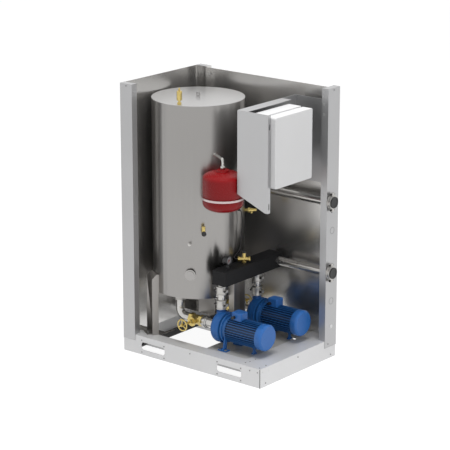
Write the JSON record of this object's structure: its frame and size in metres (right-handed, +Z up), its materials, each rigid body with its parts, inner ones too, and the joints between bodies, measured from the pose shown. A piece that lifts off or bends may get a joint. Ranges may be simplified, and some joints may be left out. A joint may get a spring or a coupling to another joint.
{
  "type": "hydronic pump module",
  "caption": "Skid-mounted hydronic module: buffer tank, expansion vessel, twin pumps, insulated header, outgoing pipes and a control cabinet in an open sheet-metal frame.",
  "frame": {"origin": "on the floor, in the middle of the box round the whole module", "axes": "+X along the long front side towards the pipe ends, +Y from the open front to the back wall, +Z up"},
  "size_m": [1.242, 0.8382, 1.886],
  "materials": {
    "steel_light": "satin powder-coated sheet",
    "steel_post": "satin powder-coated sheet",
    "wall_steel": "dark reflecting sheet",
    "deck_steel": "glossy sheet",
    "tank_steel": "satin sheet",
    "pipe_steel": "satin tube",
    "cast_silver": "bright casting",
    "bolt_black": "blackened",
    "screw_zinc": "zinc plated",
    "brass": "plain cast and turned",
    "vessel_red": "gloss paint",
    "ring_zinc": "zinc plated",
    "rubber_black": "moulded",
    "foam_black": "matt foam box",
    "cap_black": "moulded",
    "pump_blue": "gloss paint",
    "cover_blue": "gloss paint",
    "rotor_steel": "machined",
    "rack_grey": "satin powder-coated sheet",
    "cabinet_grey": "satin powder coat",
    "standoff_dark": "satin",
    "plate_zinc": "zinc plated sheet",
    "gauge_black": "moulded",
    "needle_red": "thin sheet"
  },
  "bodies": {
    "module": {"front_rail": "steel_light", "back_rail": "steel_light", "left_rail": "steel_light", "right_rail": "steel_light", "cross_member": "steel_post", "fork_guides": "steel_post", "pump_deck": "deck_steel", "front_left_post": "steel_post", "back_left_post": "steel_post", "back_right_post": "steel_post", "left_wall": "wall_steel", "back_wall": "wall_steel", "fasteners": "screw_zinc", "tank_shell": "tank_steel", "tank_cover": "tank_steel", "tank_legs": "steel_post", "port_cover": "tank_steel", "sensor_pocket": "pipe_steel", "air_vent_body": "brass", "drain_cock_body": "brass", "vessel_upper_shell": "vessel_red", "vessel_lower_shell": "vessel_red", "vessel_clamp_ring": "ring_zinc", "vessel_diaphragm": "rubber_black", "vessel_pipe": "pipe_steel", "fill_valve": "brass", "sensing_line": "rubber_black", "safety_valve": "brass", "header": "pipe_steel", "header_insulation": "foam_black", "gauge_case": "gauge_black", "return_pipe": "pipe_steel", "supply_pipe": "pipe_steel", "pipe_couplings": "cast_silver", "coupling_bolts": "bolt_black", "end_caps": "cap_black", "riser_pipes": "pipe_steel", "suction_pipes": "pipe_steel", "gate_valves": "brass", "pump_casings": "pump_blue", "motor_bodies": "pump_blue", "fan_covers": "cover_blue", "terminal_boxes": "cover_blue", "cable_glands": "cap_black", "pump_feet": "pump_blue", "cabinet_rack": "rack_grey", "cabinet_standoffs": "standoff_dark", "cabinet_body": "cabinet_grey", "cabinet_plate": "plate_zinc"},
    "rotor_near": {"rotor_near": "rotor_steel"},
    "rotor_far": {"rotor_far": "rotor_steel"},
    "handwheel_near": {"handwheel_near": "brass"},
    "handwheel_far": {"handwheel_far": "brass"},
    "cabinet_door": {"cabinet_door": "cabinet_grey"},
    "door_lock_lower": {"door_lock_lower": "rotor_steel"},
    "door_lock_upper": {"door_lock_upper": "rotor_steel"},
    "drain_knob": {"drain_knob": "cap_black"},
    "safety_knob": {"safety_knob": "cap_black"},
    "gauge_needle": {"gauge_needle": "needle_red"},
    "air_vent_cap": {"air_vent_cap": "brass"}
  },
  "joints": [
    {"name": "near_rotor_spin", "type": "hinge", "parent": "module", "child": "rotor_near", "pos_m": [0.25, -0.194, 0.265], "axis": [1, 0, 0], "continuous": true},
    {"name": "far_rotor_spin", "type": "hinge", "parent": "module", "child": "rotor_far", "pos_m": [0.25, 0.194, 0.265], "axis": [1, 0, 0], "continuous": true},
    {"name": "near_valve_turn", "type": "hinge", "parent": "module", "child": "handwheel_near", "pos_m": [-0.145, -0.35, 0.265], "axis": [0, -1, 0], "range_deg": [0, 1080]},
    {"name": "far_valve_turn", "type": "hinge", "parent": "module", "child": "handwheel_far", "pos_m": [-0.145, 0.35, 0.265], "axis": [0, 1, 0], "range_deg": [0, 1080]},
    {"name": "door_swing", "type": "hinge", "parent": "module", "child": "cabinet_door", "pos_m": [0.481, 0.164, 1.544], "axis": [0, 0, 1], "range_deg": [0, 110]},
    {"name": "lower_lock_turn", "type": "hinge", "parent": "cabinet_door", "child": "door_lock_lower", "pos_m": [0.554, -0.205, 1.4], "axis": [1, 0, 0], "range_deg": [0, 90]},
    {"name": "upper_lock_turn", "type": "hinge", "parent": "cabinet_door", "child": "door_lock_upper", "pos_m": [0.554, -0.205, 1.688], "axis": [1, 0, 0], "range_deg": [0, 90]},
    {"name": "drain_turn", "type": "hinge", "parent": "module", "child": "drain_knob", "pos_m": [-0.02436, -0.26328, 0.911], "axis": [0.7145, -0.6997, 0], "range_deg": [0, 180]},
    {"name": "safety_turn", "type": "hinge", "parent": "module", "child": "safety_knob", "pos_m": [0.092, 0.02, 0.742], "axis": [0, 0, 1], "range_deg": [0, 60]},
    {"name": "needle_turn", "type": "hinge", "parent": "module", "child": "gauge_needle", "pos_m": [0.106, -0.157, 0.725], "axis": [-1, 0, 0], "range_deg": [0, 270], "stiffness_Nm_per_rad": 0.0002},
    {"name": "vent_cap_turn", "type": "hinge", "parent": "module", "child": "air_vent_cap", "pos_m": [-0.215, -0.284, 1.874], "axis": [0, 0, 1], "range_deg": [0, 360]}
  ]
}
